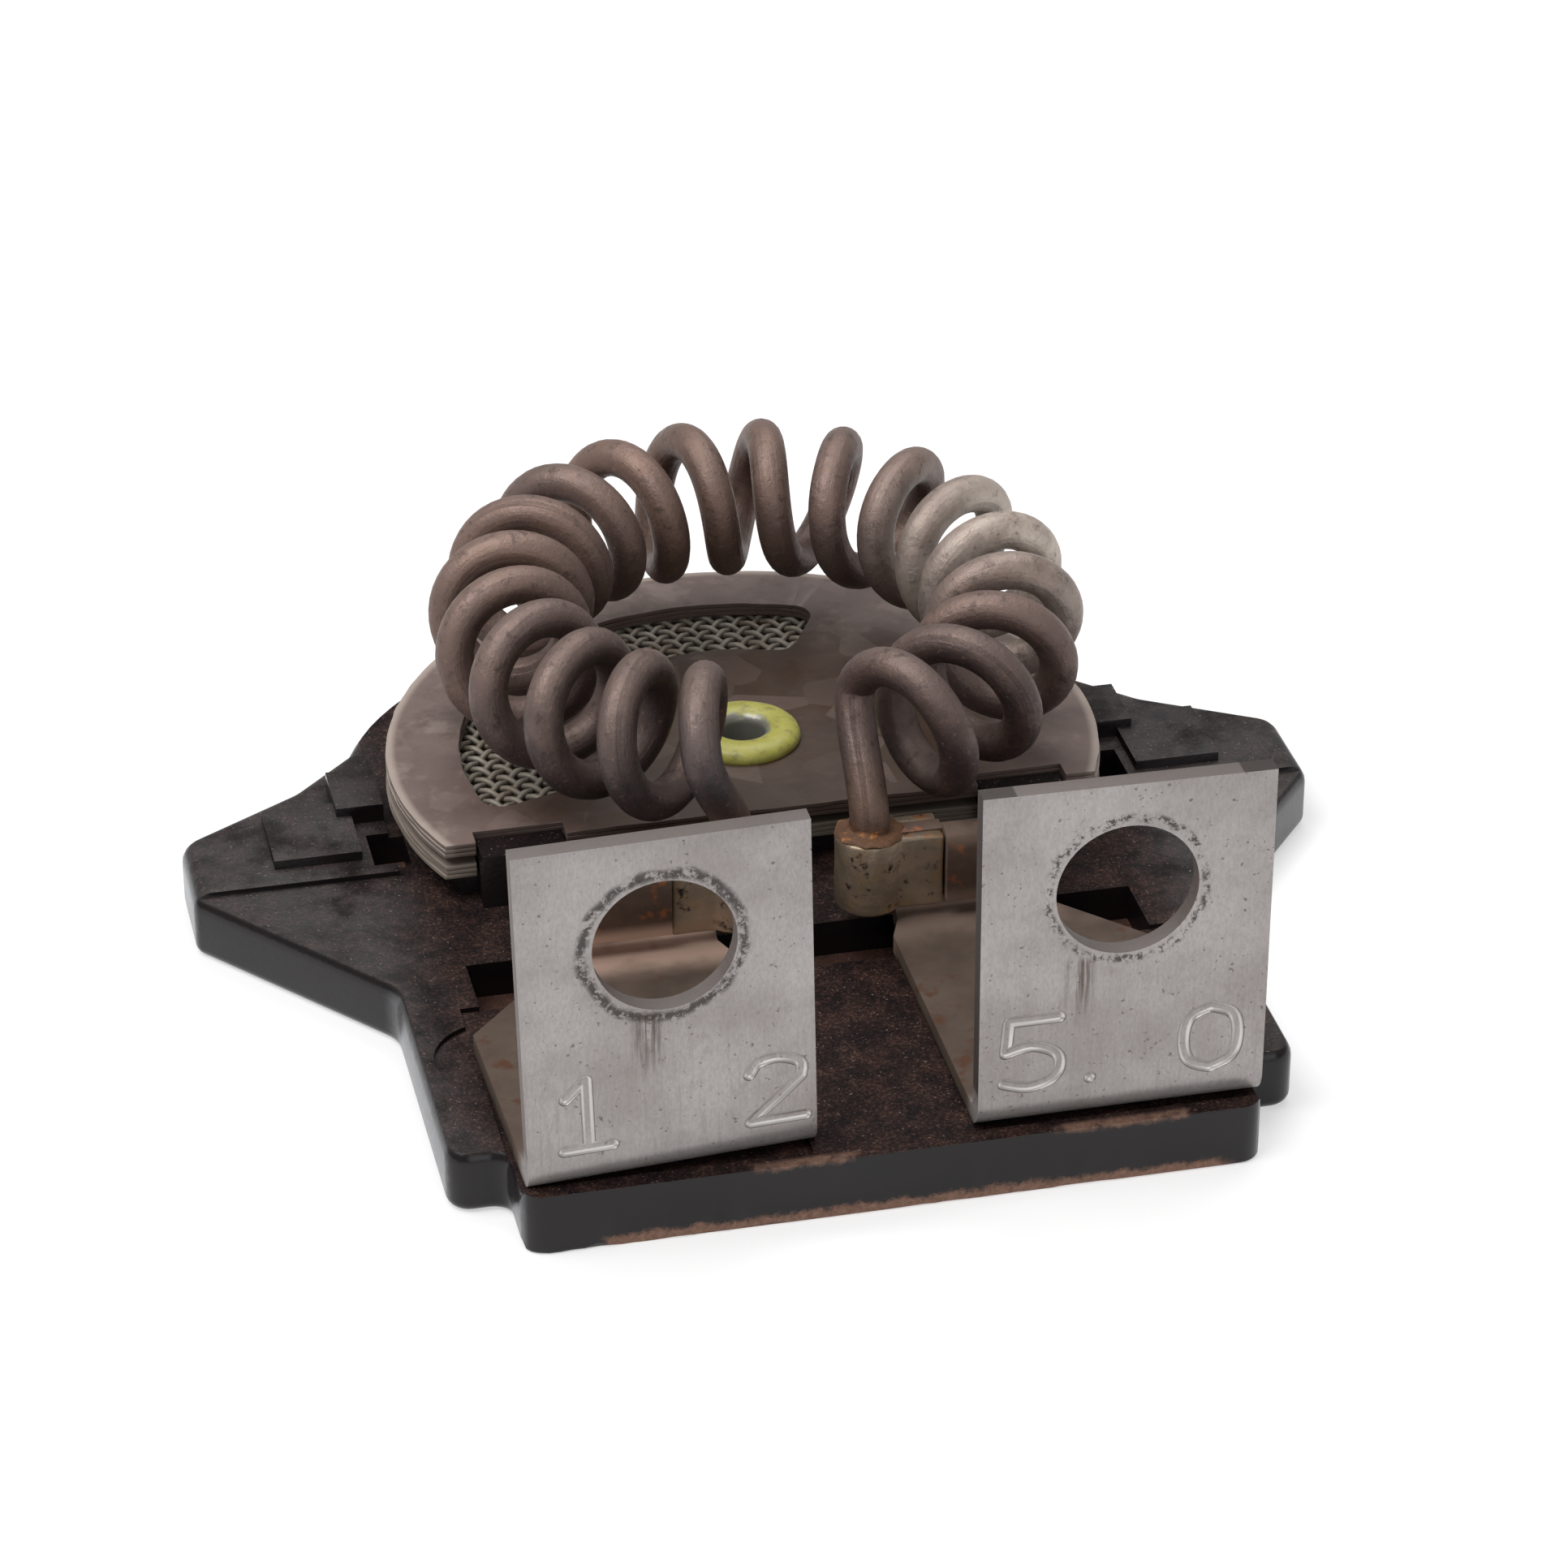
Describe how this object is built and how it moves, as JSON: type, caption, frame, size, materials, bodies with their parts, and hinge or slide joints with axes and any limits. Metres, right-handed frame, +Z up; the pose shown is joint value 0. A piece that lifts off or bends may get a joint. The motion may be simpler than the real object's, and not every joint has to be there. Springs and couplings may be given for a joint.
{
  "type": "overload relay heater unit",
  "caption": "Plug-in heater unit: moulded base with ears, upright screw terminals, ring of coiled resistance wire over a windowed mica disc, eyelet at the centre.",
  "frame": {"origin": "centre of the footprint, on the underside of the base", "axes": "+X towards the right terminal seen from the front, +Y from the terminals towards the round end, +Z up"},
  "size_m": [0.0456, 0.0432, 0.0164],
  "materials": {
    "phenolic": "matt moulded phenolic",
    "terminal_steel": "satin",
    "resistance_wire": "oxidised",
    "crimp_strip": "heat stained",
    "braze": "rough",
    "mica": "satin pressed mica",
    "woven_screen": "woven",
    "painted_eyelet": "paint",
    "rivet_steel": "dull"
  },
  "bodies": {
    "root": {"base_moulding": "phenolic", "left_terminal": "terminal_steel", "right_terminal": "terminal_steel", "heater_coil": "resistance_wire", "left_crimp": "crimp_strip", "right_crimp": "crimp_strip", "left_braze": "braze", "right_braze": "braze", "upper_disc": "mica", "mesh_screen": "woven_screen", "lower_disc": "mica", "centre_eyelet": "painted_eyelet", "eyelet_washer": "rivet_steel", "left_rivet": "rivet_steel", "right_rivet": "rivet_steel"}
  },
  "joints": []
}
